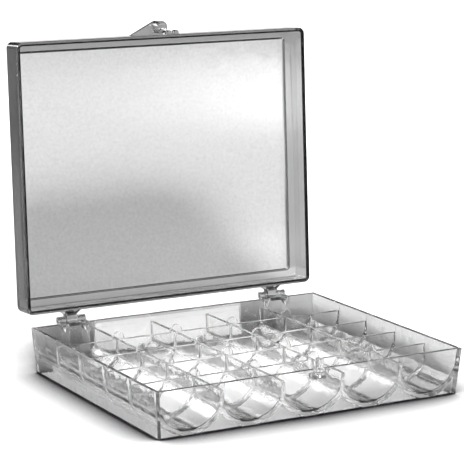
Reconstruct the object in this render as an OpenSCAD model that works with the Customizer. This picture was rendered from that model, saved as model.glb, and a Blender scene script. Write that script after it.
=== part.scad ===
// Clear hinged bobbin box: a tray with five by five cells, and a lid that snaps shut.
// Millimetres. +X to the right, +Y to the back (hinge side), +Z up.
// The origin is the middle of the tray's underside.

/* [Tray] */
// Width of the tray and lid over the rim
tray_w = 124; // [121:0.5:126]
// Depth of the tray and lid over the rim, front to back
tray_d = 102.4; // [101:0.2:104]
// Height of the tray, from the table to the rim
tray_h = 17.2; // [17:0.1:18]
// Thickness of the outer walls of tray and lid
wall_t = 1.5; // [1.3:0.1:1.6]
// How far each outer wall of the tray leans in from rim to foot
draft_inset = 1.4; // [1:0.1:1.6]

/* [Cells] */
// Cells from left to right
columns = 5; // [4:1:6]
// Cells from front to back
rows = 5; // [4:1:6]
// How much larger a trough's inside radius is than half a column
trough_spare = 1; // [0.8:0.1:1.3]
// Thickness of the plastic at the lowest line of a trough
floor_t = 1.2; // [1.1:0.1:1.3]
// Thickness of the trough sheet, square to its surface
sheet_t = 1.4; // [1.35:0.05:1.5]
// Thickness of the upright walls between the columns
column_wall_t = 1.3; // [1.1:0.1:1.5]
// Thickness of the upright dividers between the rows
divider_t = 1.2; // [1:0.1:1.4]
// How far the column walls and row dividers stay below the rim
divider_drop = 2.8; // [2.4:0.1:3.2]
// Width of the round-topped tab on each crossing
tab_w = 4.6; // [4:0.1:5]
// Height of the straight foot under the round top of a crossing tab
tab_foot = 0.6; // [0.4:0.1:0.8]

/* [Lid] */
// Outside depth of the lid, rim to ledge
lid_depth = 10; // [9.6:0.1:10.4]
// Gap between the closed lid's rim and the tray's rim
rim_gap = 0.1; // [0.1:0.05:0.2]
// Thickness of the lid's panel
panel_t = 1.4; // [1.2:0.1:1.5]
// Radius of the lid's upright corners
lid_corner_r = 2.4; // [2:0.1:2.8]
// Width of the flat ledge around the raised panel
ledge_w = 3.9; // [3.5:0.1:4.5]
// Height that the panel stands out above the ledge
panel_rise = 0.9; // [0.7:0.1:1]
// Angle the lid opens through, from closed to its stop
open_angle = 93.6; // [91:0.1:95]

/* [Hinges] */
// Distance of each hinge's middle from the nearer side of the box
hinge_inset = 17.9; // [16:0.1:19]
// How far the hinge axis stands behind the tray's rim
axis_out = 3.2; // [3.1:0.1:3.4]
// Height of the hinge axis above the tray's rim
axis_up = 0.5; // [0.4:0.1:0.6]
// How far an ear's pointed gusset reaches below the rim
ear_reach = 3.8; // [3.5:0.1:4.2]
// How far below the rim an ear begins to narrow
ear_shoulder = 0.7; // [0.5:0.1:1]
// Width of one hinge ear on the tray
ear_t = 3; // [2.6:0.1:3.2]
// Width of the slot between two ears
ear_gap = 5.4; // [5.2:0.1:5.8]
// Outside radius of ears and lugs around the axis
knuckle_r = 1.35; // [1.3:0.05:1.4]
// Radius of the cross pins moulded on the lid's lugs
pin_r = 0.75; // [0.7:0.05:0.8]
// Radial play of a cross pin in its ear
pin_play = 0.05; // [0.03:0.01:0.08]
// Width of a lug between the ears
lug_t = 4.4; // [4.2:0.1:4.6]
// Width of a lug where it joins the lid
lug_root_w = 8.8; // [8:0.1:9.4]
// Height of a lug's root on the lid's back wall
lug_root_h = 3.2; // [3:0.1:3.6]

/* [Catch] */
// Distance from the lid's front face to the axis of catch peg and socket
catch_out = 2.8; // [2.7:0.1:3]
// Radius of the catch peg on the tray
peg_r = 1.5; // [1.4:0.05:1.5]
// Radial play of the peg in the lid's socket
peg_play = 0.1; // [0.08:0.01:0.1]
// Height of the peg's tip above the tray's rim
peg_rise = 4.6; // [4.3:0.1:4.8]
// How far the top of the peg's shelf stays below the rim
shelf_drop = 1; // [0.8:0.1:1.4]
// Thickness of the peg's shelf
shelf_t = 1.6; // [1.4:0.1:2]
// Radius of the shelf's round end
shelf_r = 2.6; // [2.4:0.1:2.8]
// Outside radius of the socket under the lid's finger tab
socket_r = 2.4; // [2.3:0.1:2.5]
// Height of the socket's mouth above the tray's rim
socket_mouth = 3; // [2.8:0.1:3.2]
// How far the finger tab's top stays below the lid's ledge
finger_tab_drop = 1.3; // [1:0.1:1.5]
// Thickness of the finger tab
finger_tab_t = 1.6; // [1.4:0.1:1.8]
// Distance from the socket's axis to the far end of the finger tab's slope
finger_tab_root = 12; // [11:0.5:13]
// Radius of the finger tab's round end over the socket
finger_tab_r = 2.4; // [2.3:0.1:2.5]
// Distance from the socket's axis to the nearer nub beside the finger tab
nub_x = 5; // [4.6:0.1:5.4]
// Distance from one nub to the next
nub_pitch = 3.1; // [2.9:0.1:3.3]
// Width of each nub
nub_w = 1.9; // [1.8:0.05:2]

/* [Label] */
// Width of the paper label on the outside of the back wall
label_w = 62.7; // [50:0.1:64]
// Offset of the label's middle from the middle of the box
label_x = -4.4; // [-6:0.1:4]
// How far the label's upper edge stays below the rim
label_drop = 1.5; // [1.2:0.1:3]
// Height of the label
label_h = 12.7; // [8:0.1:13]
// Thickness of the label
label_t = 0.15; // [0.1:0.05:0.2]

/* [Hidden] */
$fn = 96;

clear_plastic = [0.82, 0.85, 0.88, 0.55];
clear_edge = [0.62, 0.66, 0.70, 0.8];
paper_white = [0.96, 0.96, 0.95];

reach = 200;                                  // longer than anything in the box
column_pitch = (tray_w - 2 * wall_t) / columns;
row_pitch = (tray_d - 2 * wall_t) / rows;
trough_r = column_pitch / 2 + trough_spare;   // inside radius of the round troughs
trough_z = trough_r + floor_t;                // height of the troughs' axes
divider_top = tray_h - divider_drop;
hinge_x = tray_w / 2 - hinge_inset;

axis_y = tray_d / 2 + axis_out;
axis_z = tray_h + axis_up;

lid_low = tray_h + rim_gap;
lid_top = tray_h + lid_depth;
panel_inside = lid_top - panel_t;

ear_low = tray_h - ear_reach;                 // point of the gusset under an ear
ear_full = tray_h - ear_shoulder;             // height from which an ear is full width
flare_end = knuckle_r + 0.4;                   // the lug's flare ends this far from the axis
pin_inset = 0.2;                              // the pin stops short of the ears' outer faces
stop_gap = 0.08;                              // air between heel and back wall at full opening
heel_high = 0.75;                             // top of the heel's face, below the axis
heel_low = 1.9;                               // foot of the heel's face, below the axis

shelf_top = tray_h - shelf_drop;
shelf_low = shelf_top - shelf_t;
peg_top = tray_h + peg_rise;
finger_tab_low = lid_top - finger_tab_drop - finger_tab_t;
label_high = tray_h - label_drop;
label_low = label_high - label_h;
nub_foot = 0.35;                              // straight part of a nub, under its round top
nub_length = 2.4;                             // a nub's length down the lid's front face

// A flat outline in X and Z, drawn out along Y between y0 and y1.
module along_y(y0, y1) {
    translate([0, y1, 0])
        rotate([90, 0, 0])
            linear_extrude(y1 - y0)
                children();
}

// A flat outline in Y and Z, drawn out along X between x0 and x1.
module along_x(x0, x1) {
    translate([x0, 0, 0])
        rotate([90, 0, 90])
            linear_extrude(x1 - x0)
                children();
}

// Half of a tray's width or depth at height z, for the half width half_rim at the rim.
function half_at(half_rim, z) = half_rim - draft_inset * (1 - z / tray_h);

// A tapered outline, half_rim wide each way at the rim, between two heights.
module tapered_outline(half_rim, low, high) {
    polygon([
        [-half_at(half_rim, low), low],
        [half_at(half_rim, low), low],
        [half_at(half_rim, high), high],
        [-half_at(half_rim, high), high]
    ]);
}

// The block inside the tray's drafted faces, moved in by inset.
module drafted_block(inset, low, high) {
    intersection() {
        along_y(-reach, reach) tapered_outline(tray_w / 2 - inset, low, high);
        along_x(-reach, reach) tapered_outline(tray_d / 2 - inset, low, high);
    }
}

// Middle of column i and place of row divider j.
function column_x(i) = (i - (columns - 1) / 2) * column_pitch;
function cusp_x(i) = (i - columns / 2) * column_pitch;
function divider_y(j) = (j - rows / 2) * row_pitch;

// ---- tray ----

// Four outer walls in one ring, leaning in towards the foot.
module tray_walls() {
    color(clear_edge)
        difference() {
            drafted_block(0, 0, tray_h);
            drafted_block(wall_t, -1, tray_h + 1);
        }
}

// The space inside one trough and above it.
module trough_space(x) {
    translate([x, trough_z]) circle(r = trough_r);
    translate([x - trough_r, trough_z]) square([2 * trough_r, reach]);
}

// Section of the scalloped sheet that makes the bottoms of the troughs.
module sheet_section() {
    for (i = [0 : columns - 1])
        intersection() {
            difference() {
                translate([column_x(i), trough_z]) circle(r = trough_r + sheet_t);
                trough_space(column_x(i));
            }
            translate([column_x(i) - column_pitch / 2, 0]) square([column_pitch, trough_z]);
        }
}

// Round troughs side by side, each a half pipe that a row of bobbins stands in.
module trough_floor() {
    color(clear_plastic)
        intersection() {
            along_y(-tray_d, tray_d) sheet_section();
            drafted_block(wall_t, 0, tray_h);
        }
}

// Section of the wall before column i: a plate that stands on the ridge between two troughs.
module column_wall_section(i) {
    intersection() {
        translate([cusp_x(i) - column_wall_t / 2, 0]) square([column_wall_t, divider_top]);
        union() {
            trough_space(column_x(i - 1));
            trough_space(column_x(i));
        }
    }
}

// Upright walls between the columns, from the front wall to the back wall.
module column_walls() {
    color(clear_plastic)
        intersection() {
            along_y(-tray_d, tray_d)
                for (i = [1 : columns - 1])
                    column_wall_section(i);
            drafted_block(wall_t, 0, tray_h);
        }
}

// Section of one row divider in one column: it fills the round of the trough.
module divider_section(x) {
    intersection() {
        trough_space(x);
        divider_span(x);
    }
}

// The space a divider may fill: between column walls, or out to half a column at the ends.
module divider_span(x) {
    between = (column_pitch - column_wall_t) / 2;
    left = x < -tray_w / 2 + column_pitch ? column_pitch / 2 : between;
    right = x > tray_w / 2 - column_pitch ? column_pitch / 2 : between;
    translate([x - left, 0]) square([left + right, divider_top]);
}

// Dividers that part each column into cells.
module row_dividers() {
    color(clear_plastic)
        intersection() {
            for (j = [1 : rows - 1])
                along_y(divider_y(j) - divider_t / 2, divider_y(j) + divider_t / 2)
                    for (i = [0 : columns - 1])
                        divider_section(column_x(i));
            drafted_block(wall_t, 0, tray_h);
        }
}

// Outline of one crossing tab: a short foot with a half round on it.
module tab_outline(x) {
    translate([x - tab_w / 2, divider_top]) square([tab_w, tab_foot]);
    intersection() {
        translate([x, divider_top + tab_foot]) circle(d = tab_w);
        translate([x - tab_w, divider_top + tab_foot]) square([2 * tab_w, tab_w]);
    }
}

// Round-topped tabs where column walls and row dividers cross.
module crossing_tabs() {
    color(clear_edge)
        for (j = [1 : rows - 1])
            along_y(divider_y(j) - divider_t / 2, divider_y(j) + divider_t / 2)
                for (i = [1 : columns - 1])
                    tab_outline(cusp_x(i));
}

// ---- hinges ----

// The point where a line from p touches a circle of radius r about c, on the given side.
function touch_point(p, c, r, side) =
    let (
        d = norm(c - p),
        heading = atan2(c[1] - p[1], c[0] - p[0]),
        turn = side * asin(r / d),
        run = sqrt(d * d - r * r)
    )
    p + run * [cos(heading + turn), sin(heading + turn)];

// Side view of an ear in Y and Z: a bracket on the back wall with a round head.
module ear_outline() {
    centre = [axis_y, axis_z];
    foot = [half_at(tray_d / 2, ear_low), ear_low];
    inside = tray_d / 2 - wall_t;
    polygon([
        [inside, ear_low],
        foot,
        touch_point(foot, centre, knuckle_r, -1),
        centre,
        [axis_y - knuckle_r, axis_z],
        [axis_y - knuckle_r, tray_h],
        [inside, tray_h]
    ]);
    translate(centre) circle(r = knuckle_r);
}

// Back view of an ear in X and Z: full width at the top, tapered to a point below.
module ear_taper(x) {
    polygon([
        [x, ear_low],
        [x + ear_t / 2, ear_full],
        [x + ear_t / 2, reach],
        [x - ear_t / 2, reach],
        [x - ear_t / 2, ear_full]
    ]);
}

// One ear with its pin hole, joined to the back wall.
module ear(x) {
    difference() {
        intersection() {
            along_x(x - ear_t / 2, x + ear_t / 2) ear_outline();
            along_y(0, reach) ear_taper(x);
        }
        drafted_block(0, 0, tray_h);
        translate([x - ear_t, axis_y, axis_z])
            rotate([0, 90, 0]) cylinder(r = pin_r + pin_play, h = 2 * ear_t);
    }
}

// The two ears of one hinge, either side of its slot.
module hinge_ears(x) {
    color(clear_edge)
        for (side = [-1, 1])
            ear(x + side * (ear_gap + ear_t) / 2);
}

// Places a child, drawn at the fully open pose, into the closed lid's frame.
module opened_to_closed() {
    translate([0, axis_y, axis_z])
        rotate([open_angle, 0, 0])
            translate([0, -axis_y, -axis_z])
                children();
}

// Swings the closed lid back about the hinge axis to its stop.
module swung_open() {
    translate([0, axis_y, axis_z])
        rotate([-open_angle, 0, 0])
            translate([0, -axis_y, -axis_z])
                children();
}

// Side view of a lug's arm in Y and Z, lid closed.
module lug_outline() {
    centre = [axis_y, axis_z];
    face = tray_d / 2;
    foot = [face, lid_low + rim_gap];
    head = [face, lid_low + rim_gap + lug_root_h];
    polygon([
        foot,
        touch_point(foot, centre, knuckle_r, -1),
        centre,
        touch_point(head, centre, knuckle_r, 1),
        head
    ]);
    translate(centre) circle(r = knuckle_r);
}

// Top view of a lug in X and Y: wide at the lid and clear of the ears' webs, narrow between them.
module lug_plan(x) {
    face = tray_d / 2;
    polygon([
        [x - lug_root_w / 2, face],
        [x + lug_root_w / 2, face],
        [x + lug_t / 2, axis_y - flare_end],
        [x + lug_t / 2, reach],
        [x - lug_t / 2, reach],
        [x - lug_t / 2, axis_y - flare_end]
    ]);
}

// Side view of the heel at full opening: its face lies along the back wall and stops the lid.
module heel_outline() {
    high = axis_z - heel_high;
    low = axis_z - heel_low;
    polygon([
        [axis_y, axis_z],
        [half_at(tray_d / 2, high) + stop_gap, high],
        [half_at(tray_d / 2, low) + stop_gap, low],
        [axis_y, axis_z - knuckle_r]
    ]);
}

// One lug of the lid with its heel and cross pin.
module lug(x) {
    along_x(x - lug_t / 2, x + lug_t / 2) lug_outline();
    intersection() {
        along_x(x - lug_root_w / 2, x + lug_root_w / 2) lug_outline();
        translate([0, 0, lid_low + rim_gap]) linear_extrude(reach) lug_plan(x);
    }
    opened_to_closed()
        along_x(x - lug_t / 2, x + lug_t / 2) heel_outline();
    pin_half = ear_gap / 2 + ear_t - pin_inset;
    translate([x - pin_half, axis_y, axis_z])
        rotate([0, 90, 0]) cylinder(r = pin_r, h = 2 * pin_half);
}

module hinge_lug(x) {
    color(clear_edge) swung_open() lug(x);
}

// ---- lid ----

// A rounded rectangle centred on the box.
module rounded_plate(w, d, r) {
    square([w - 2 * r, d], center = true);
    square([w, d - 2 * r], center = true);
    for (x = [-1, 1], y = [-1, 1])
        translate([x * (w / 2 - r), y * (d / 2 - r)]) circle(r = r);
}

// A low block with sides sloped at 45 degrees, inset from the lid's outline at its foot.
module sloped_field(inset, low, rise) {
    module slope(half) {
        polygon([[-half, low], [half, low], [half - rise, low + rise], [-half + rise, low + rise]]);
    }
    intersection() {
        along_y(-reach, reach) slope(tray_w / 2 - inset);
        along_x(-reach, reach) slope(tray_d / 2 - inset);
    }
}

// The closed lid: a shallow tray upside down, its panel raised inside a flat ledge.
module closed_lid_shell() {
    inner_r = lid_corner_r - wall_t;
    difference() {
        union() {
            translate([0, 0, lid_low])
                linear_extrude(lid_top - lid_low) rounded_plate(tray_w, tray_d, lid_corner_r);
            sloped_field(ledge_w, lid_top, panel_rise);
        }
        translate([0, 0, lid_low - 1])
            linear_extrude(panel_inside - lid_low + 1)
                rounded_plate(tray_w - 2 * wall_t, tray_d - 2 * wall_t, inner_r);
        sloped_field(ledge_w, panel_inside, panel_rise);
    }
}

module lid_shell() {
    color(clear_plastic) swung_open() closed_lid_shell();
}

// ---- catch ----

catch_y = -tray_d / 2 - catch_out;

// A round-ended shelf on the front wall with the peg standing on it.
module catch_peg() {
    color(clear_edge) {
        difference() {
            translate([0, 0, shelf_low])
                linear_extrude(shelf_t) {
                    translate([0, catch_y]) circle(r = shelf_r);
                    translate([-shelf_r, catch_y]) square([2 * shelf_r, catch_out + wall_t]);
                }
            drafted_block(0, 0, tray_h);
        }
        translate([0, catch_y, shelf_low + shelf_t / 2])
            cylinder(r = peg_r, h = peg_top - shelf_low - shelf_t / 2);
    }
}

// A round-topped nub on the lid's front face.
module nub(x) {
    face = -tray_d / 2;
    translate([0, 0, finger_tab_low + finger_tab_t - nub_length])
        linear_extrude(nub_length) {
            translate([x - nub_w / 2, face - nub_foot]) square([nub_w, nub_foot]);
            intersection() {
                translate([x, face - nub_foot]) circle(d = nub_w);
                translate([x - nub_w, face - nub_foot - nub_w]) square([2 * nub_w, nub_w]);
            }
        }
}

// Top view of the finger tab: a long slope from one side that ends in a round over the socket.
module finger_tab_plan() {
    face = -tray_d / 2;
    start = [-finger_tab_root, face];
    centre = [0, catch_y];
    polygon([
        start,
        touch_point(start, centre, finger_tab_r, -1),
        centre,
        [finger_tab_r, catch_y],
        [finger_tab_r, face]
    ]);
    translate(centre) circle(r = finger_tab_r);
}

// The closed lid's finger tab with its socket, and the two nubs beside it.
module closed_finger_tab() {
    low = finger_tab_low;
    mouth = tray_h + socket_mouth;
    difference() {
        union() {
            translate([0, 0, low])
                linear_extrude(finger_tab_t) finger_tab_plan();
            translate([0, catch_y, mouth]) cylinder(r = socket_r, h = low - mouth + finger_tab_t / 2);
            for (k = [0, 1])
                nub(nub_x + k * nub_pitch);
        }
        translate([0, catch_y, mouth - 1]) cylinder(r = peg_r + peg_play, h = low - mouth + 1);
    }
}

module finger_tab() {
    color(clear_edge) swung_open() closed_finger_tab();
}

// ---- label ----

// A blank paper label stuck on the outside of the back wall.
module back_label() {
    color(paper_white)
        intersection() {
            difference() {
                drafted_block(-label_t, 0, tray_h);
                drafted_block(0, -1, tray_h + 1);
            }
            translate([label_x - label_w / 2, 0, label_low])
                cube([label_w, tray_d, label_high - label_low]);
        }
}

tray_walls();
trough_floor();
column_walls();
row_dividers();
crossing_tabs();
hinge_ears(-hinge_x);  // left_hinge_ears
hinge_ears(hinge_x);  // right_hinge_ears
catch_peg();
back_label();
lid_shell();
hinge_lug(-hinge_x);  // left_hinge_lug
hinge_lug(hinge_x);  // right_hinge_lug
finger_tab();
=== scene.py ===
"""Clear hinged bobbin box, standing open.

The tray and the lid are clear mouldings. Each is worked out here as one closed skin, so that
light passes through it as through one piece of plastic: the tray as a grid of stations from
above and another from below, the lid as a profile carried round a rounded rectangle. Lengths
are in millimetres until a mesh is made, and metres in Blender.
"""

import math

import bmesh
import bpy
import numpy as np
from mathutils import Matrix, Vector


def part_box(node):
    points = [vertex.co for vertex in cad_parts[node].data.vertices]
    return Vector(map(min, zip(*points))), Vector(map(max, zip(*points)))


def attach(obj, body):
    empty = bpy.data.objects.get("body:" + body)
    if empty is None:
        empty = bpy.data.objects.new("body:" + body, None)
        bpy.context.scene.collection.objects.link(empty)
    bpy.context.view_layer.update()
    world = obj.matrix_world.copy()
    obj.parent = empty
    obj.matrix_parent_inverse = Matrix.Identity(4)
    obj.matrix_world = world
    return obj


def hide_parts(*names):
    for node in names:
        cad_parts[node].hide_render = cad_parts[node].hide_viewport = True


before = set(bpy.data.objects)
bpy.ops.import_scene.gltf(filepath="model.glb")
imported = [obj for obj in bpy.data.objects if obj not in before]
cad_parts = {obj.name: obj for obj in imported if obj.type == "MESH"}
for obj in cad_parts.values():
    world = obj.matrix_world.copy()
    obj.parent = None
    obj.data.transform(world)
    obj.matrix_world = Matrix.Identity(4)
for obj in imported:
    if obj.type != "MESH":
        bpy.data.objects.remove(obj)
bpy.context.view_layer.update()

MM = 0.001


# ---------------------------------------------------------------- sizes

def node_box(name):
    """Lowest and highest corner of a CAD node, in millimetres."""
    low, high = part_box(name)
    return np.array(low) / MM, np.array(high) / MM


tray_low, tray_high = node_box("tray_walls")
tray_w = tray_high[0] - tray_low[0]
tray_d = tray_high[1] - tray_low[1]
tray_h = tray_high[2]
half_w = tray_w / 2
half_d = tray_d / 2
wall_t = 1.5
draft_inset = 1.4

columns = 5
rows = 5
column_pitch = (tray_w - 2 * wall_t) / columns
row_pitch = (tray_d - 2 * wall_t) / rows
floor_t = 1.2
sheet_t = 1.4
trough_r = column_pitch / 2 + 1.0
trough_z = trough_r + floor_t
column_wall_t = 1.3
divider_t = 1.2
divider_top = tray_h - 2.8
tab_w = 4.6
tab_foot = 0.6

lid_depth = 10.0
rim_gap = 0.1
panel_t = 1.4
lid_corner_r = 2.4
ledge_w = 3.9
panel_rise = 0.9
inner_step = ledge_w + 0.4
lid_low = tray_h + rim_gap
lid_top = tray_h + lid_depth

axis_y = half_d + 3.2
axis_z = tray_h + 0.5
open_angle = math.radians(93.6)

weld = 0.002


def wall_face(z):
    """How far the outer face of the front and back walls lies from the middle, at a height.

    It is half the depth, less the draft times what the height lacks of the whole, as a share.
    """
    return half_d - draft_inset * (1 - z / tray_h)


# ---------------------------------------------------------------- mesh helpers

def new_object(name, vertices, faces):
    """A mesh object at the origin from vertices in millimetres and faces as lists of indices."""
    mesh = bpy.data.meshes.new(name)
    mesh.from_pydata((np.asarray(vertices) * MM).tolist(), [], faces)
    mesh.validate()
    mesh.update()
    thing = bpy.data.objects.new(name, mesh)
    bpy.context.scene.collection.objects.link(thing)
    return thing


def grid_faces(rows_n, columns_n, start=0, flip=False):
    """Quads between neighbouring stations of a rows_n by columns_n grid of vertices."""
    index = start + np.arange(rows_n * columns_n).reshape(rows_n, columns_n)
    corners = (index[:-1, :-1], index[:-1, 1:], index[1:, 1:], index[1:, :-1])
    quads = np.stack(corners, axis=-1).reshape(-1, 4)
    if flip:
        quads = quads[:, ::-1]
    return quads.tolist()


def merge_close(thing, distance):
    """Merges vertices that lie within a distance in millimetres and points all faces outwards."""
    edit = bmesh.new()
    edit.from_mesh(thing.data)
    bmesh.ops.remove_doubles(edit, verts=edit.verts, dist=distance * MM)
    bmesh.ops.dissolve_degenerate(edit, dist=distance * MM, edges=edit.edges)
    bmesh.ops.recalc_face_normals(edit, faces=edit.faces)
    edit.to_mesh(thing.data)
    edit.free()


def bake_modifiers(thing):
    """Replaces a piece's mesh by what its modifiers make of it."""
    bpy.context.view_layer.update()
    depsgraph = bpy.context.evaluated_depsgraph_get()
    mesh = bpy.data.meshes.new_from_object(thing.evaluated_get(depsgraph))
    thing.modifiers.clear()
    thing.data = mesh


def smooth_by_angle(thing, degrees=32):
    """Smooth shading that stays crisp on edges sharper than the angle."""
    thing.data.shade_smooth()
    thing.data.set_sharp_from_angle(angle=math.radians(degrees))
    weighted = thing.modifiers.new("even_flats", "WEIGHTED_NORMAL")
    weighted.keep_sharp = True
    bake_modifiers(thing)


def swing_open(points):
    """Turns closed-lid points back about the hinge axis to the open pose.

    The distances from the axis along Y and Z turn as a plane turns: by the cosine and sine of
    the open angle.
    """
    out = np.array(points, float)
    dy = out[:, 1] - axis_y
    dz = out[:, 2] - axis_z
    out[:, 1] = axis_y + dy * math.cos(open_angle) + dz * math.sin(open_angle)
    out[:, 2] = axis_z - dy * math.sin(open_angle) + dz * math.cos(open_angle)
    return out


# ---------------------------------------------------------------- tray

# A moulded edge is rounded in three steps: distance in from the face, and drop below the top.
edge_steps = np.array([[0.0, 0.25], [0.03, 0.12], [0.12, 0.04], [0.3, 0.0]])
edge_drops = edge_steps[:, 1]
edge_n = len(edge_steps)
rib_edge_steps = [(0.26, 0.0), (0.1, 0.05), (0.02, 0.14), (0.0, 0.28)]
# An upright face leans over this distance, so that no two stations lie on one another.
steep = 0.07
fillet_r = 1.5
# Distances from an upright side at which a fillet has its stations, by the angle of its arc.
fillet_steps = fillet_r * (1 - np.sin(np.radians([90, 75, 60, 46, 33, 20, 9, 0])))
# Heights that never win where the highest or the lowest surface is taken, and a hair's slack.
no_floor = -1e3
no_roof = 1e3
hair = 1e-6


def wall_stations(half):
    """Stations from the outer face of a wall at -half inwards: nine distances.

    Four round the outer edge of the rim, four its inner edge, and one is the inner face's foot.
    """
    outer = edge_steps[:, 0]
    inner = wall_t - edge_steps[::-1, 0]
    return -half + np.concatenate([outer, inner, [wall_t + steep]])


def rib_stations(thickness, foot_round=()):
    """Distances from a rib's mid-plane to one side, and the drop of its top at each.

    The top is flat, then rounded, and the side ends at a foot, where a fillet may begin.
    """
    half = thickness / 2
    edge = [(half - inwards, drop) for inwards, drop in rib_edge_steps]
    foot = [(half + steep, None)] + [(half + steep + d, None) for d in foot_round]
    return [(0.0, 0.0)] + edge + foot


def mirrored(distances):
    """A sorted array of distances and their negatives, without doubles."""
    both = sorted(set([round(d, 4) for d in distances] + [round(-d, 4) for d in distances]))
    return np.array(both)


def lines_along(half, groups):
    """All stations across the tray: the walls' own, and each group's distances round its centres.

    A station that lies too close to the one before it, or to a wall, is left out.
    """
    wall_clearance = 0.05
    least_gap = 0.018
    edge = wall_stations(half)
    limit = half - wall_t - steep - wall_clearance
    inside = [centre + d for centres, distances in groups for centre in centres for d in distances]
    inside = sorted(v for v in inside if abs(v) < limit)
    kept = [inside[0]]
    for v in inside[1:]:
        if v - kept[-1] > least_gap:
            kept.append(v)
    return np.concatenate([edge, kept, -edge[::-1]])


def rib_top(distance, thickness, top):
    """Height of a rib at a distance from its mid-plane: its top less the drop of its round edge."""
    steps = [step for step in rib_stations(thickness) if step[1] is not None]
    d, drop = np.array(steps).T
    height = top - np.interp(np.abs(distance), d, drop)
    return np.where(np.abs(distance) <= thickness / 2 + hair, height, no_floor)


def nearest(values, centres):
    """Signed distance from each value to the nearest of the centres."""
    gaps = values[:, None] - np.asarray(centres)[None, :]
    return gaps[np.arange(len(values)), np.abs(gaps).argmin(axis=1)]


def tab_profile(distance):
    """Height of a crossing tab over the dividers: a short foot with a half round on it.

    The round is the root of the half width squared less the distance squared.
    """
    half = tab_w / 2
    inside = np.abs(distance) <= half + hair
    round_part = np.sqrt(np.clip(half**2 - distance**2, 0, None))
    return np.where(inside, tab_foot + round_part, 0.0)


def lean_in(x, y, z):
    """Leans the outer walls in towards the foot: full at the walls, fading out over the cells.

    A point moves in by the draft, times what it lacks of the full height, times a share that
    rises from 0 to 1 as three times its square less two times its cube.
    """
    fade_from, fade_to = 4.6, 0.1

    def pull(v, half):
        """One coordinate, leant in towards the middle."""
        start = half - wall_t - fade_from
        share = np.clip((np.abs(v) - start) / (half - wall_t - fade_to - start), 0, 1)
        share = share * share * (3 - 2 * share)
        return v - np.sign(v) * share * draft_inset * (1 - z / tray_h)

    return pull(x, half_w), pull(y, half_d)


def edge_heights(count, side_steps):
    """Per station: how far the rounded outer edge lies off the flat, and 0 away from the walls."""
    out = np.zeros(count)
    out[:edge_n] = side_steps
    out[-edge_n:] = side_steps[::-1]
    return out


def on_walls(count, elsewhere, outer, inner):
    """Per station: one height round a wall's outer edge, four round its inner edge, or elsewhere."""
    out = np.full(count, elsewhere)
    out[:edge_n] = outer
    out[edge_n:2 * edge_n] = inner
    out[-edge_n:] = outer
    out[-2 * edge_n:-edge_n] = inner[::-1]
    return out


cusps = [(i - columns / 2) * column_pitch for i in range(1, columns)]
column_middles = [(i - (columns - 1) / 2) * column_pitch for i in range(columns)]
divider_places = [(j - rows / 2) * row_pitch for j in range(1, rows)]
row_middles = [(j - (rows - 1) / 2) * row_pitch for j in range(rows)]


def tray_stations():
    """The grid lines of the tray across X and along Y.

    They lie closer together where a surface steepens: over the tabs' rounds, the ribs' edges
    and the fillets. A trough has them at equal angles of its arc, and a cell at its thirds.
    """
    tab_marks = [0.95, 1.25, 1.6, 1.9, 2.1, 2.22, 2.285, tab_w / 2, tab_w / 2 + 0.02]
    arc_steps, arc_reach = 24, 46
    thirds = np.array([-0.17, 0.17]) * row_pitch
    across = mirrored([step[0] for step in rib_stations(column_wall_t)] + tab_marks)
    arc = trough_r * np.sin(np.radians(np.linspace(-arc_reach, arc_reach, arc_steps)))
    x = lines_along(half_w, [(cusps, across), (column_middles, arc)])
    along = mirrored([step[0] for step in rib_stations(divider_t, fillet_steps[1:])])
    y = lines_along(half_d, [(divider_places, along), (row_middles, thirds)])
    inner = half_d - wall_t - steep
    ends = [side * (inner - d) for d in fillet_steps[1:] for side in (-1, 1)]
    return x, np.array(sorted(set(y) | set(ends)))


def foot_fillet(y):
    """Round rise of the trough's floor where it meets a divider or an end wall.

    It is a quarter circle of fillet_r, standing on the floor and ending upright.
    """
    past_rib = np.abs(nearest(y, divider_places)) - (divider_t / 2 + steep)
    past_wall = (half_d - wall_t - steep) - np.abs(y)
    gap = np.clip(np.minimum(past_rib, past_wall), 0, None)
    across = np.clip(fillet_r - gap, 0, fillet_r)
    return fillet_r - np.sqrt(fillet_r**2 - across**2)


def trough_arc(x, radius):
    """Height of a round trough: its centre's, less a root.

    The root is of the radius squared less the squared distance from the middle of the column.
    """
    from_middle = nearest(x, column_middles)
    return trough_z - np.sqrt(np.clip(radius**2 - from_middle**2, 0, None))


def tray_top(x, y):
    """Upper surface: the highest of trough, column wall, divider with tabs, and rim."""
    from_cusp = nearest(x, cusps)
    column_wall = rib_top(from_cusp, column_wall_t, divider_top)
    divider = rib_top(nearest(y, divider_places), divider_t, divider_top)
    floor = trough_arc(x, trough_r)[None, :] + foot_fillet(y)[:, None]
    cells = np.maximum(floor, column_wall[None, :])
    cells = np.maximum(cells, divider[:, None] + tab_profile(from_cusp)[None, :])

    nx, ny = len(x), len(y)
    inner = tray_h - edge_drops[::-1]
    rim_u = on_walls(nx, no_floor, tray_h, inner)
    rim_v = on_walls(ny, no_floor, tray_h, inner)
    z = np.maximum(np.maximum(rim_u[None, :], rim_v[:, None]), cells)
    outer_u = tray_h - edge_heights(nx, edge_drops)
    outer_v = tray_h - edge_heights(ny, edge_drops)
    return np.minimum(np.minimum(z, outer_u[None, :]), outer_v[:, None])


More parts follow.
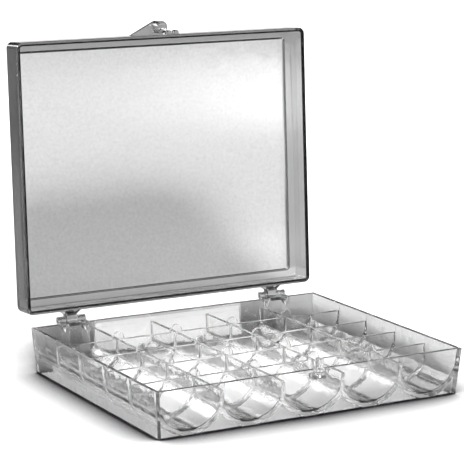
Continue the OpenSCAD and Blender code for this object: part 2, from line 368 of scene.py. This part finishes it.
def tray_underside(x, y):
    """Lower surface: round foot ring under the walls, and the undersides of the troughs."""
    nx, ny = len(x), len(y)
    arcs = np.clip(trough_arc(x, trough_r + sheet_t), 0, None)
    z = np.repeat(arcs[None, :], ny, axis=0)
    ring_u = on_walls(nx, no_roof, 0, edge_drops[::-1])
    ring_v = on_walls(ny, no_roof, 0, edge_drops[::-1])
    # The ring's last station already belongs to the trough's underside.
    last = 2 * edge_n - 1
    for ring in (ring_u, ring_v):
        ring[last] = ring[-1 - last] = no_roof
    ring = np.minimum(ring_u[None, :], ring_v[:, None])
    z = np.where(ring < no_roof, ring, z)
    foot_u, foot_v = edge_heights(nx, edge_drops), edge_heights(ny, edge_drops)
    return np.maximum(z, np.maximum(foot_u[None, :], foot_v[:, None]))


def make_tray_skin():
    """The tray as one closed skin: the upper grid, the lower grid and the outer faces."""
    x, y = tray_stations()
    nx, ny = len(x), len(y)
    gx, gy = np.meshgrid(x, y)
    top = tray_top(x, y)
    under = tray_underside(x, y)
    upper = np.stack([*lean_in(gx, gy, top), top], axis=-1).reshape(-1, 3)
    lower = np.stack([*lean_in(gx, gy, under), under], axis=-1).reshape(-1, 3)
    faces = grid_faces(ny, nx) + grid_faces(ny, nx, start=nx * ny, flip=True)
    index = np.arange(nx * ny).reshape(ny, nx)
    loop = np.concatenate([index[0, :], index[1:, -1], index[-1, -2::-1], index[-2:0:-1, 0]])
    after = np.roll(loop, -1)
    shift = nx * ny
    faces += np.stack([loop, loop + shift, after + shift, after], axis=-1).tolist()
    thing = new_object("tray_moulding", np.concatenate([upper, lower]), faces)
    merge_close(thing, weld)
    return thing


# ---------------------------------------------------------------- lid

def rounded_ring(half_x, half_y, radius, steps=6):
    """Points round a rectangle with round corners, the same number for every size.

    Each corner is a quarter circle about its own centre, radius in from both sides.
    """
    quarter = np.radians(np.linspace(0, 90, steps))
    points = []
    for k, (sx, sy) in enumerate([(1, 1), (-1, 1), (-1, -1), (1, -1)]):
        angle = quarter + math.pi / 2 * k
        cx, cy = sx * (half_x - radius), sy * (half_y - radius)
        points.append(np.stack([cx + radius * np.cos(angle), cy + radius * np.sin(angle)], axis=1))
    return np.concatenate(points)


def lid_profile():
    """Across the lid's wall and panel: distance in from the outline, height and corner radius.

    It runs from the middle of the outside, over the ledge and down the outer wall, round the
    rim and back along the inside. The small numbers beside a size round its edge off.
    """
    least_r = 0.3

    def corner(offset):
        """Corner radius at a distance in from the outline: the outline's, less the distance."""
        return max(lid_corner_r - offset, least_r)

    inside = lid_top - panel_t
    rise = panel_rise
    field_r = 1.1
    outside = [
        (ledge_w + rise + 0.15, lid_top + rise, field_r),
        (ledge_w + rise, lid_top + rise - 0.04, field_r),
        (ledge_w + rise - 0.12, lid_top + rise - 0.14, field_r),
        (ledge_w + 0.12, lid_top + 0.12, field_r),
        (ledge_w, lid_top + 0.03, field_r),
        (ledge_w - 0.15, lid_top, field_r),
        (0.5, lid_top, corner(0.5)),
        (0.25, lid_top - 0.067, corner(0.25)),
        (0.067, lid_top - 0.25, corner(0.067)),
        (0.0, lid_top - 0.5, corner(0)),
        (0.0, lid_low + 0.3, corner(0)),
        (0.04, lid_low + 0.12, corner(0.04)),
        (0.14, lid_low + 0.03, corner(0.14)),
        (0.3, lid_low, corner(0.3)),
    ]
    far = wall_t
    back = [
        (far - 0.3, lid_low, corner(far - 0.3)),
        (far - 0.14, lid_low + 0.03, corner(far - 0.14)),
        (far - 0.04, lid_low + 0.12, corner(far)),
        (far, lid_low + 0.3, corner(far)),
        (far, inside - 0.45, corner(far)),
        (far + 0.13, inside - 0.13, corner(far)),
        (far + 0.45, inside, corner(far)),
        (inner_step - 0.05, inside, field_r),
        (inner_step, inside + 0.03, field_r),
        (inner_step + 0.02, inside + 0.08, field_r),
        (inner_step + 0.06, inside + rise - 0.12, field_r),
        (inner_step + 0.1, inside + rise - 0.04, field_r),
        (inner_step + 0.2, inside + rise, field_r),
    ]
    return outside + back


def strip_faces(index):
    """Quads between neighbouring closed rings of vertices, given as the rows of an index array."""
    here, there = index[:-1], index[1:]
    quads = np.stack([here, there, np.roll(there, -1, axis=1), np.roll(here, -1, axis=1)], axis=-1)
    return quads.reshape(-1, 4).tolist()


def make_lid_skin():
    """The lid as one closed skin: its profile carried round the outline, and two flat fields."""
    profile = lid_profile()
    rings = []
    for offset, height, radius in profile:
        plan = rounded_ring(half_w - offset, half_d - offset, radius)
        rings.append(np.column_stack([plan, np.full(len(plan), height)]))
    index = np.arange(len(profile) * len(rings[0])).reshape(len(profile), -1)
    faces = strip_faces(index) + [index[0].tolist(), index[-1][::-1].tolist()]
    thing = new_object("lid_moulding", swing_open(np.concatenate(rings)), faces)
    merge_close(thing, weld)
    return thing


# ---------------------------------------------------------------- label

def make_label():
    """A paper label: two round-cornered rectangles, front and back, joined at their edge.

    It leans with the back wall and stands a hair behind it.
    """
    low, high = node_box("back_label")
    sheet = 0.1
    air = 0.03
    corner_r = 0.6
    plan = rounded_ring((high[0] - low[0]) / 2, (high[2] - low[2]) / 2, corner_r)
    x = plan[:, 0] + (low[0] + high[0]) / 2
    z = plan[:, 1] + (low[2] + high[2]) / 2
    front = np.column_stack([x, wall_face(z) + air, z])
    back = np.column_stack([x, wall_face(z) + air + sheet, z])
    index = np.arange(2 * len(plan)).reshape(2, -1)
    faces = strip_faces(index) + [index[0].tolist(), index[1][::-1].tolist()]
    thing = new_object("paper_label", np.concatenate([front, back]), faces)
    merge_close(thing, weld / 2)
    return thing


# ---------------------------------------------------------------- small fittings on the mouldings

def fitting_from_node(node, toward, depth=0.3, edge=0.12):
    """A copy of a small CAD node, merged, with rounded edges and its root set into its wall.

    toward(points) gives, in millimetres, how far each point lies in front of the wall it is on
    and the direction into that wall; points on the wall move in by depth.
    """
    touching = 0.03
    flat_within = math.radians(0.8)
    sharp_from = math.radians(40)
    thing = bpy.data.objects.new(node + "_fitting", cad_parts[node].data.copy())
    mesh = thing.data
    mesh.materials.clear()
    bpy.context.scene.collection.objects.link(thing)
    edit = bmesh.new()
    edit.from_mesh(mesh)
    bmesh.ops.remove_doubles(edit, verts=edit.verts, dist=weld * MM)
    bmesh.ops.dissolve_limit(edit, angle_limit=flat_within, verts=edit.verts, edges=edit.edges)
    bmesh.ops.recalc_face_normals(edit, faces=edit.faces)
    edit.to_mesh(mesh)
    edit.free()
    places = np.empty(3 * len(mesh.vertices), np.float32)
    mesh.vertices.foreach_get("co", places)
    gap, into = toward(places.reshape(-1, 3).astype(float) / MM)
    moves = np.where(gap < touching, depth * MM, 0.0)[:, None] * into
    places += moves.ravel().astype(np.float32)
    mesh.vertices.foreach_set("co", places)
    mesh.update()
    if edge:
        bevel = thing.modifiers.new("moulded_edge", "BEVEL")
        bevel.width = edge * MM
        bevel.segments = 2
        bevel.limit_method = "ANGLE"
        bevel.angle_limit = sharp_from
        bake_modifiers(thing)
    return thing


def on_back_wall(points):
    """Distance behind the tray's leaning back wall, and the way into it."""
    return points[:, 1] - wall_face(points[:, 2]), np.tile([0.0, -1.0, 0.0], (len(points), 1))


def on_front_wall(points):
    """Distance in front of the tray's leaning front wall, and the way into it."""
    return -wall_face(points[:, 2]) - points[:, 1], np.tile([0.0, 1.0, 0.0], (len(points), 1))


def on_lid_wall(side):
    """Distance off the open lid's back wall (side 1) or front wall (side -1), and the way in."""
    def measure(points):
        """Turns the points to the closed lid and takes how far they lie past the wall there."""
        dy = points[:, 1] - axis_y
        dz = points[:, 2] - axis_z
        closed_y = axis_y + dy * math.cos(open_angle) - dz * math.sin(open_angle)
        into = np.array([0.0, -side * math.cos(open_angle), side * math.sin(open_angle)])
        return side * closed_y - half_d, np.tile(into, (len(points), 1))

    return measure


def fuse(body, fittings):
    """Joins fittings to a moulding as one skin."""
    for fitting in fittings:
        union = body.modifiers.new("join_" + fitting.name, "BOOLEAN")
        union.operation = "UNION"
        union.solver = "EXACT"
        union.object = fitting
    bake_modifiers(body)
    for fitting in fittings:
        bpy.data.objects.remove(fitting)


# ---------------------------------------------------------------- nodes

def grey(level):
    """An even grey as red, green, blue and cover."""
    return (level, level, level, 1)


class Nodes:
    """Fills the node tree of a material or world. A value is plain or an earlier node's output."""

    def __init__(self, owner):
        owner.use_nodes = True
        self.tree = owner.node_tree
        self.tree.nodes.clear()

    def feed(self, socket, value):
        """Links an output to an input, or sets the input to a plain number or colour."""
        if isinstance(value, bpy.types.NodeSocket):
            self.tree.links.new(value, socket)
        else:
            socket.default_value = value

    def add(self, kind, inputs=None, **settings):
        """A node of a kind, with its settings, and with inputs fed by name or number."""
        node = self.tree.nodes.new("ShaderNode" + kind)
        for key, value in settings.items():
            setattr(node, key, value)
        for key, value in (inputs or {}).items():
            self.feed(node.inputs[key], value)
        return node

    def place(self):
        """Where a point lies on the piece."""
        return self.add("TexCoord").outputs["Object"]

    def split(self, vector):
        """The X, Y and Z of a vector."""
        return tuple(self.add("SeparateXYZ", {"Vector": vector}).outputs)

    def maths(self, operation, *values):
        """One maths node over one or two values."""
        node = self.add("Math", dict(enumerate(values)), operation=operation)
        return node.outputs["Value"]

    def size(self, value):
        """A value without its sign."""
        return self.maths("ABSOLUTE", value)

    def chain(self, operation, first, *others):
        """Values taken together one after another."""
        for other in others:
            first = self.maths(operation, first, other)
        return first

    def plus(self, *values):
        """The sum of values."""
        return self.chain("ADD", *values)

    def times(self, *values):
        """The product of values."""
        return self.chain("MULTIPLY", *values)

    def most(self, *values):
        """The highest of values."""
        return self.chain("MAXIMUM", *values)

    def away_from(self, value, middle):
        """Distance either way from a middle given in millimetres."""
        return self.size(self.maths("SUBTRACT", value, middle * MM))

    def band(self, value, face, start, end):
        """0 where a value is start past a face, 1 where it is end past it, smooth between.

        All three are in millimetres. A negative start or end lies short of the face, and an end
        below the start makes the band fall as the value rises.
        """
        ends = {"From Min": (face + start) * MM, "From Max": (face + end) * MM}
        step = self.add("MapRange", {"Value": value, **ends}, interpolation_type="SMOOTHSTEP")
        return step.outputs["Result"]

    def ramp(self, value, low, high, to_low=0.0, to_high=1.0):
        """A value stretched from low and high to new ends, straight between, held beyond."""
        ends = {"From Min": low, "From Max": high, "To Min": to_low, "To Max": to_high}
        return self.add("MapRange", {"Value": value, **ends}).outputs["Result"]

    def noise(self, place, scale, detail):
        """A cloudy pattern, 0 to 1."""
        sockets = {"Vector": place, "Scale": scale, "Detail": detail}
        return self.add("TexNoise", sockets).outputs["Fac"]

    def bump(self, height, strength, distance, under=None):
        """Small relief from a pattern, over an earlier relief where one is given."""
        sockets = {"Height": height, "Strength": strength, "Distance": distance}
        if under:
            sockets["Normal"] = under
        return self.add("Bump", sockets).outputs["Normal"]

    def blend(self, share, first, second):
        """From a first value at share 0 to a second at share 1."""
        sockets = {"Factor": share, "A": first, "B": second}
        return self.add("Mix", sockets, data_type="FLOAT").outputs["Result"]

    def blend_colours(self, share, first, second):
        """From a first colour at share 0 to a second at share 1."""
        sockets = {"Factor": share, "A": first, "B": second}
        return self.add("Mix", sockets, data_type="RGBA").outputs["Result"]


# ---------------------------------------------------------------- materials

def lid_painted_shade_and_mottle(nodes, place):
    """How much painted shade darkens the lid's faces, 0 to 1: walls outside, rim, ledge, panel's
    step, lugs' roots, under a faint random mottle.

    The place is turned back to the closed lid first: there Z runs from the rim up to the panel,
    and Y from the finger tab back to the hinges. Each pair of numbers is the start and the end
    of a band past the face that it is used with.
    """
    turn = {"Vector": place, "Center": (0, axis_y * MM, axis_z * MM), "Angle": open_angle}
    upright = nodes.add("VectorRotate", turn, rotation_type="X_AXIS")
    x, y, z = nodes.split(upright.outputs["Vector"])
    across, along = nodes.size(x), nodes.size(y)
    r = lid_corner_r

    # Out from the corners' centres: the root of the sum of squares of what lies past them.
    squares = []
    for size, half in ((across, half_w), (along, half_d)):
        past = nodes.maths("SUBTRACT", size, (half - r) * MM)
        arm = nodes.most(past, 0)
        squares.append(nodes.times(arm, arm))
    out = nodes.maths("SQRT", nodes.plus(*squares))

    # Painted shade on the walls' outer faces, clear of the rim and the lugs, darkest on the left end
    # by the tab.
    wall_dark, end_dark, end_dark_by_tab = 0.4, 0.4, 0.197
    face_starts, face_ends, past_rim = (-0.5, -0.1), (0.5, 0.15), (0.15, 0.5)
    left_end, tab_ward = (r, 0.8), (30, -20)
    outer_face = nodes.times(
        nodes.band(out, r, *face_starts),
        nodes.band(out, r, *face_ends),
        nodes.band(z, lid_low, *past_rim),
    )
    toward_tab = nodes.times(nodes.band(y, 0, *tab_ward), end_dark_by_tab)
    end_share = nodes.times(nodes.band(x, -half_w, *left_end), nodes.plus(toward_tab, end_dark))
    walls = nodes.times(outer_face, nodes.plus(end_share, wall_dark))

    # Painted shade in a line along the rim's inner edge, which takes in the whole rim on the right
    # end.
    rim_dark_by_hinges, rim_dark_beyond, off_hinge_wall = 0.6, 0.395, (-0.2, -2.6)
    line_in, line_side, line_low = 1.2, (0.45, 0.25), (0.8, 0.3)
    broad_inner, broad_outer = (-1.5, -1.3), (-0.1, -0.3)
    broad_low, right_end = (1.4, 0.9), (-2.6, -1.9)
    rim_edge = nodes.times(
        nodes.band(nodes.size(nodes.plus(out, (line_in - r) * MM)), 0, *line_side),
        nodes.band(z, lid_low, *line_low),
    )
    broad = nodes.times(
        nodes.band(out, r, *broad_inner),
        nodes.band(out, r, *broad_outer),
        nodes.band(z, lid_low, *broad_low),
        nodes.band(x, half_w, *right_end),
    )
    beyond = nodes.times(nodes.band(y, half_d, *off_hinge_wall), rim_dark_beyond)
    rim = nodes.times(nodes.most(rim_edge, broad), nodes.plus(beyond, rim_dark_by_hinges))

    # Painted shade: the step round the panel as a dark line, and the ledge between it and the wall.
    step_dark, step_side = 0.85, (0.3, 0.1)
    ledge_dark, ledge_dark_off_hinges, ledge_starts = 0.15, 0.27, (0.0, 0.2)
    hinge_ledge = (-4.0, -6.0)
    in_x = nodes.plus(across, (inner_step - half_w) * MM)
    in_y = nodes.plus(along, (inner_step - half_d) * MM)
    from_step = nodes.most(in_x, in_y)
    off_hinges = nodes.band(y, half_d, *hinge_ledge)
    line = nodes.times(nodes.band(nodes.size(from_step), 0, *step_side), step_dark, off_hinges)
    ledge_share = nodes.plus(nodes.times(off_hinges, ledge_dark_off_hinges), ledge_dark)
    ledge = nodes.times(ledge_share, nodes.band(from_step, 0, *ledge_starts))

    # Painted shade at the roots of the two lugs, behind the hinge wall.
    root_dark = 0.95
    root_starts, root_ends, lug_side = (0.1, 0.5), (2.0, 1.4), (2.2, 1.6)
    low, high = node_box("right_hinge_lug")
    from_lug = nodes.away_from(across, (low[0] + high[0]) / 2)
    root = nodes.times(
        nodes.band(y, half_d, *root_starts),
        nodes.band(y, half_d, *root_ends),
        nodes.band(from_lug, 0, *lug_side),
        root_dark,
    )

    mottle_scale, mottle_detail, mottle_range, mottle_dark = 900, 5, (0.4, 0.65), 0.1
    mottle = nodes.noise(place, mottle_scale, mottle_detail)
    mottle = nodes.ramp(mottle, *mottle_range, to_high=mottle_dark)
    return nodes.most(mottle, walls, rim, ledge, line, root)


def tray_painted_shade(nodes, place):
    """How much painted shade darkens the tray's faces, 0 to 1: its edges, its foot, and its back
    wall beside the label.

    Each pair of numbers is the start and the end of a band past the face it is used with.
    """
    x, y, z = nodes.split(place)

    # Painted shade on the back wall's outer face, which leans, on both sides of the label.
    back_dark, face_starts, face_ends, beside = 0.7, (-0.8, -0.2), (0.5, 0.15), (0, 1.2)
    behind = nodes.plus(y, nodes.times(z, -draft_inset / tray_h))
    foot_y = half_d - draft_inset
    low, high = node_box("back_label")
    label_half = (high[0] - low[0]) / 2
    from_label = nodes.away_from(x, (low[0] + high[0]) / 2)
    shaded = nodes.times(
        nodes.band(behind, foot_y, *face_starts),
        nodes.band(behind, foot_y, *face_ends),
        nodes.band(from_label, label_half, *beside),
        back_dark,
    )
    # Painted shade along the foot, where the walls stand on the table.
    foot_dark, foot_top = 0.995, (0.6, 0.2)
    foot = nodes.times(nodes.band(z, 0, *foot_top), foot_dark)

    # Painted shade in broken lines on the rim and on the tops of the ribs.
    rim_dark, rim_side = 0.3, (0.3, 0.1)
    tops_dark, tops_middle, tops_side = 0.45, divider_top - 0.1, (0.35, 0.15)
    within_walls = (-1.5, -2.2)
    patch_scale, patch_detail, patch_range, patch_least = 160, 3, (0.38, 0.62), 0.15
    rim = nodes.times(nodes.band(nodes.away_from(z, tray_h), 0, *rim_side), rim_dark)
    inside = nodes.times(
        nodes.band(nodes.size(x), half_w, *within_walls),
        nodes.band(nodes.size(y), half_d, *within_walls),
    )
    from_top = nodes.away_from(z, tops_middle)
    tops = nodes.times(nodes.band(from_top, 0, *tops_side), inside, tops_dark)
    patches = nodes.noise(place, patch_scale, patch_detail)
    patches = nodes.ramp(patches, *patch_range, to_low=patch_least)
    lines = nodes.times(nodes.most(rim, tops), patches)
    return nodes.most(shaded, foot, lines)


def clear_plastic(name, painted_shade_and_mottle, clearness, haze, density, waviness):
    """Clear moulded polystyrene: flow waves in its faces, fine rubbing marks, grey in its depth.

    The first function gives the painted shade: where it is high, shade and dark reflections are
    painted in as a near-black tint and black reflections;
    the lid's also carries a faint random mottle. clearness is the tint elsewhere, haze the most that
    rubbing roughens it, density the grey per metre, and waviness the relief's strength.
    """
    black, white, painted_black = 0.0, 1.0, 0.0004
    rub_scale, rub_detail, rub_range, least_rough = 30, 5, (0.35, 0.75), 0.01
    refraction = 1.58
    streak_draw = (1.0, 0.12, 1.0)
    material = bpy.data.materials.new(name)
    nodes = Nodes(material)
    place = nodes.place()
    # Painted shade: where it is painted, the tint turns near black and reflections turn black.
    dark = painted_shade_and_mottle(nodes, place)
    tint = nodes.blend_colours(dark, grey(clearness), grey(painted_black))
    shine_under_painted_shade = nodes.blend_colours(dark, grey(white), grey(black))

    # Slow waves, finer flow, and streaks drawn out along Y. Each has its pattern's place, scale
    # and detail, its share of the waviness, and its depth in metres.
    drawn_out = nodes.add("Mapping", {"Vector": place, "Scale": streak_draw})
    reliefs = (
        (place, 75, 2, 1.0, 0.0006),
        (place, 420, 3, 0.5, 0.0001),
        (drawn_out.outputs["Vector"], 1100, 2, 0.4, 0.00008),
    )
    relief = None
    for where, scale, detail, share, deep in reliefs:
        relief = nodes.bump(nodes.noise(where, scale, detail), waviness * share, deep, relief)

    rubbed = nodes.noise(place, rub_scale, rub_detail)
    rubbed = nodes.ramp(rubbed, *rub_range, least_rough, haze)
    shader = nodes.add("BsdfPrincipled", {
        "Transmission Weight": 1.0,
        "IOR": refraction,
        "Base Color": tint,
        "Specular Tint": shine_under_painted_shade,
        "Roughness": rubbed,
        "Normal": relief,
    })
    depth = nodes.add("VolumeAbsorption", {"Color": grey(0.5), "Density": density})
    nodes.add("OutputMaterial", {
        "Surface": shader.outputs["BSDF"],
        "Volume": depth.outputs["Volume"],
    })
    return material


def label_paper():
    """Uncoated white paper: faint fibre mottle and a soft tooth, over a greyer pulp, glowing a
    little as painted light.
    """
    pulp_tones = ((0.58, 0.58, 0.57, 1), (0.68, 0.68, 0.67, 1))
    fibre_scale, fibre_detail = 900, 6
    tooth, tooth_depth = 0.15, 0.00005
    soft_depth = 0.004
    material = bpy.data.materials.new("label_paper")
    nodes = Nodes(material)
    fibre = nodes.noise(nodes.place(), fibre_scale, fibre_detail)
    mottle = nodes.add("ValToRGB", {"Fac": fibre})
    for element, tone in zip(mottle.color_ramp.elements, pulp_tones):
        element.color = tone
    shader = nodes.add("BsdfPrincipled", {
        "Base Color": mottle.outputs["Color"],
        "Roughness": 0.75,
        "Subsurface Weight": 1.0,
        "Subsurface Radius": (1, 1, 1),
        "Subsurface Scale": soft_depth,
        # Painted light: the paper glows a little, in place of the light that reaches it through the
        # plastic.
        "Emission Color": grey(1),
        "Emission Strength": 0.42,
        "Normal": nodes.bump(fibre, tooth, tooth_depth),
    })
    nodes.add("OutputMaterial", {"Surface": shader.outputs["BSDF"]})
    return material


# ---------------------------------------------------------------- studio

def see_background(nodes, direct, through):
    """How much the white table glows: direct for camera rays, through for mirror and glass."""
    rays = nodes.add("LightPath").outputs
    either = nodes.most(rays["Is Glossy Ray"], rays["Is Transmission Ray"])
    share = nodes.most(rays["Is Camera Ray"], nodes.times(either, through / direct))
    return nodes.times(share, direct)


def outside_footprint(nodes, place):
    """1 on the table beyond the tray's foot, fading to 0 just inside it."""
    fade = 2.0
    sides = []
    for way, half in zip(place, (half_w - draft_inset, half_d - draft_inset)):
        sides.append(nodes.ramp(nodes.size(way), (half - fade) * MM, half * MM))
    return nodes.most(*sides)


def painted_glow_under(nodes, place):
    """Painted light: how brightly the table glows under the tray, in place of light let through the
    plastic, more in the middle than along its edges.
    """
    edge_glow, middle_glow = 0.3, 0.75
    end_fade, back_fade, front_fade = (-4, -28), (0, -22), (4, 48)
    foot_x, foot_y = half_w - draft_inset, half_d - draft_inset
    sides = nodes.band(nodes.size(place[0]), foot_x, *end_fade)
    back = nodes.band(place[1], foot_y, *back_fade)
    front = nodes.band(place[1], -foot_y, *front_fade)
    middle = nodes.chain("MINIMUM", back, front, sides)
    return nodes.plus(nodes.times(middle, middle_glow), edge_glow)


def shut_in(nodes, reach, low, high, least=0.0):
    """How open the sky is within a reach in metres: least at low and under, 1 at high and over."""
    nook = nodes.add("AmbientOcclusion", {"Distance": reach}, samples=16)
    return nodes.ramp(nook.outputs["AO"], low, high, least)


def make_floor():
    """A plain pale table top, white to the eye, with painted shade in the crease where the box
    stands, a painted shadow behind it and painted light under the tray.
    """
    size = 3000
    painted_crease_shade, white_top = (0.012, 0.009, 0.014, 1), (0.86, 0.86, 0.865, 1)
    to_camera, through_plastic = 0.75, 0.05
    # Painted shade on the table, each from how shut in a spot is: how far it looks for the box in
    # metres, and how open the sky is at its darkest and its lightest. The last one, a painted shadow
    # behind the box, has its own darkest level.
    near_shade = (0.06, 0.46, 0.95)
    contact_line = (0.0035, 0.52, 0.75)
    lee_shade = (0.16, 0.45, 0.95, 0.25)
    lee_starts, lee_sides = (-draft_inset, 8), (4, -12)
    corners = [(-size, -size, 0), (size, -size, 0), (size, size, 0), (-size, size, 0)]
    floor = new_object("floor", np.array(corners, float), [(0, 1, 2, 3)])
    material = bpy.data.materials.new("white_table")
    nodes = Nodes(material)
    place = nodes.split(nodes.place())
    outside = outside_footprint(nodes, place)

    shade = nodes.blend(outside, 1.0, shut_in(nodes, *near_shade))
    line = nodes.blend(outside, 1.0, shut_in(nodes, *contact_line))
    lit = nodes.times(shade, line)
    behind = nodes.times(
        nodes.band(place[1], half_d, *lee_starts),
        nodes.band(nodes.size(place[0]), half_w, *lee_sides),
    )
    lee = nodes.blend(nodes.times(outside, behind), 1.0, shut_in(nodes, *lee_shade))
    paint = nodes.blend_colours(nodes.times(lit, lee), painted_crease_shade, white_top)

    seen = see_background(nodes, to_camera, through_plastic)
    # Painted light under the tray; outside it, the white of the background; both darkened by the
    # painted shade.
    backdrop_glow_and_painted_light = nodes.times(nodes.blend(outside, painted_glow_under(nodes, place), seen), lit)
    matt = nodes.add("BsdfDiffuse", {"Color": paint})
    lamp = nodes.add("Emission", {"Color": grey(1), "Strength": backdrop_glow_and_painted_light})
    both = nodes.add("AddShader", {0: matt.outputs["BSDF"], 1: lamp.outputs["Emission"]})
    nodes.add("OutputMaterial", {"Surface": both.outputs["Shader"]})
    floor.data.materials.append(material)


def make_world():
    """The studio's walls: white up to a little above the horizon, a dark band, a grey ceiling."""
    # Height from straight down at 0 to straight up at 1, and the grey there.
    stops = [
        (0.0, 1.0), (0.54, 1.0), (0.6, 0.45), (0.66, 0.06), (0.8, 0.03), (0.9, 0.12), (1.0, 0.45),
    ]
    world = bpy.data.worlds.new("studio")
    bpy.context.scene.world = world
    nodes = Nodes(world)
    up = nodes.split(nodes.add("TexCoord").outputs["Generated"])[2]
    ramp = nodes.add("ValToRGB", {"Fac": nodes.ramp(up, -1, 1)})
    ramp.color_ramp.interpolation = "EASE"
    elements = ramp.color_ramp.elements
    while len(elements) < len(stops):
        elements.new(0.5)
    for element, (height, level) in zip(elements, stops):
        element.position = height
        element.color = grey(level)
    walls = nodes.add("Background", {"Color": ramp.outputs["Color"], "Strength": 1.0})
    nodes.add("OutputWorld", {"Surface": walls.outputs["Background"]})


def add_lamp(name, kind, power):
    """A lamp of a kind, not placed yet."""
    lamp = bpy.data.lights.new(name, kind)
    lamp.energy = power
    holder = bpy.data.objects.new(name, lamp)
    bpy.context.scene.collection.objects.link(holder)
    return holder


def add_softbox(name, place, target, width, height, power, hidden=False):
    """A rectangular studio lamp at a place, turned to face a target, in millimetres.

    A hidden one lights the table but isn't seen in or through the plastic.
    """
    holder = add_lamp(name, "AREA", power)
    holder.data.shape = "RECTANGLE"
    holder.data.size = width * MM
    holder.data.size_y = height * MM
    holder.location = np.array(place) * MM
    aim = (np.array(target) - np.array(place)).tolist()
    holder.rotation_euler = type(holder.location)(aim).to_track_quat("-Z", "Y").to_euler()
    holder.visible_camera = False
    if hidden:
        holder.visible_glossy = False
        holder.visible_transmission = False


def add_key(name, azimuth, elevation, angle, strength):
    """A far soft key light that shines from behind the viewpoint's side, down at an elevation."""
    holder = add_lamp(name, "SUN", strength)
    holder.data.angle = math.radians(angle)
    holder.rotation_euler = (math.radians(90 - elevation), 0, -math.radians(azimuth))


def make_camera():
    """The viewpoint: left of the front, a little above the table, through a long lens."""
    azimuth = math.radians(29.257)
    elevation = math.radians(11.304)
    roll = math.radians(0.165)
    aim = np.array([1.472, 11.679, 54.571])
    distance = 767.6
    lens_px = 2077.4
    frame_px = 464.0
    forward = np.array([
        math.sin(azimuth) * math.cos(elevation),
        math.cos(azimuth) * math.cos(elevation),
        -math.sin(elevation),
    ])
    data = bpy.data.cameras.new("camera")
    data.sensor_fit = "HORIZONTAL"
    data.sensor_width = 36.0
    data.lens = lens_px / frame_px * data.sensor_width
    data.clip_start = 0.01
    data.clip_end = 50
    camera = bpy.data.objects.new("camera", data)
    bpy.context.scene.collection.objects.link(camera)
    camera.location = (aim - forward * distance) * MM
    camera.rotation_mode = "XYZ"
    camera.rotation_euler = (math.pi / 2 - elevation, -roll, -azimuth)
    bpy.context.scene.camera = camera


# ---------------------------------------------------------------- build

tray = make_tray_skin()
fuse(tray, [
    fitting_from_node("left_hinge_ears", on_back_wall),
    fitting_from_node("right_hinge_ears", on_back_wall),
    fitting_from_node("catch_peg", on_front_wall),
])

lid = make_lid_skin()
fuse(lid, [
    fitting_from_node("left_hinge_lug", on_lid_wall(1), edge=0),
    fitting_from_node("right_hinge_lug", on_lid_wall(1), edge=0),
    fitting_from_node("finger_tab", on_lid_wall(-1)),
])

for moulding in (tray, lid):
    smooth_by_angle(moulding)

tray.data.materials.append(clear_plastic(
    "clear_tray_plastic", tray_painted_shade, clearness=0.99, haze=0.04, density=12, waviness=0.55,
))
lid.data.materials.append(clear_plastic(
    "clear_lid_plastic", lid_painted_shade_and_mottle, clearness=0.93, haze=0.1, density=160, waviness=0.3,
))

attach(tray, "tray")
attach(lid, "lid")
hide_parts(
    "tray_walls", "trough_floor", "column_walls", "row_dividers", "crossing_tabs",
    "left_hinge_ears", "right_hinge_ears", "catch_peg",
)
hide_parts("lid_shell", "left_hinge_lug", "right_hinge_lug", "finger_tab")

label = make_label()
label.data.materials.append(label_paper())
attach(label, "tray")
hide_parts("back_label")

make_floor()
make_world()
make_camera()
# Each softbox: its place, what it faces, its width, its height and its power in watts.
add_softbox("back_softbox", (-465, 1155, 517), (0, 0, 10), 400, 340, 3.0)
add_softbox("floor_wash", (478, 724, 120), (483, 733, 0), 140, 420, 0.26, hidden=True)
add_softbox("corner_wash", (140, 215, 40), (140, 215, 0), 30, 30, 0.003, hidden=True)
add_softbox("left_softbox", (-900, -120, 260), (0, 0, 20), 120, 420, 2.4)
add_softbox("right_softbox", (700, 420, 420), (0, 0, 20), 120, 300, 1.0)
add_softbox("front_strip", (60, -800, 520), (0, 0, 20), 420, 60, 0.6)
add_softbox("sparkle_left", (-560, 420, 520), (0, 0, 20), 40, 40, 0.35)
add_softbox("sparkle_right", (520, -260, 620), (0, 0, 20), 40, 40, 0.35)
add_softbox("sparkle_back", (160, 900, 560), (0, 0, 20), 40, 40, 0.35)
add_key("key_light", azimuth=21.0, elevation=18.5, angle=9.0, strength=5.0)

scene = bpy.context.scene
scene.view_settings.view_transform = "Standard"
# Clear walls pass light along as a guide does, so a ray is followed through many mirrorings.
scene.cycles.max_bounces = 40
scene.cycles.glossy_bounces = 32
scene.cycles.transmission_bounces = 32
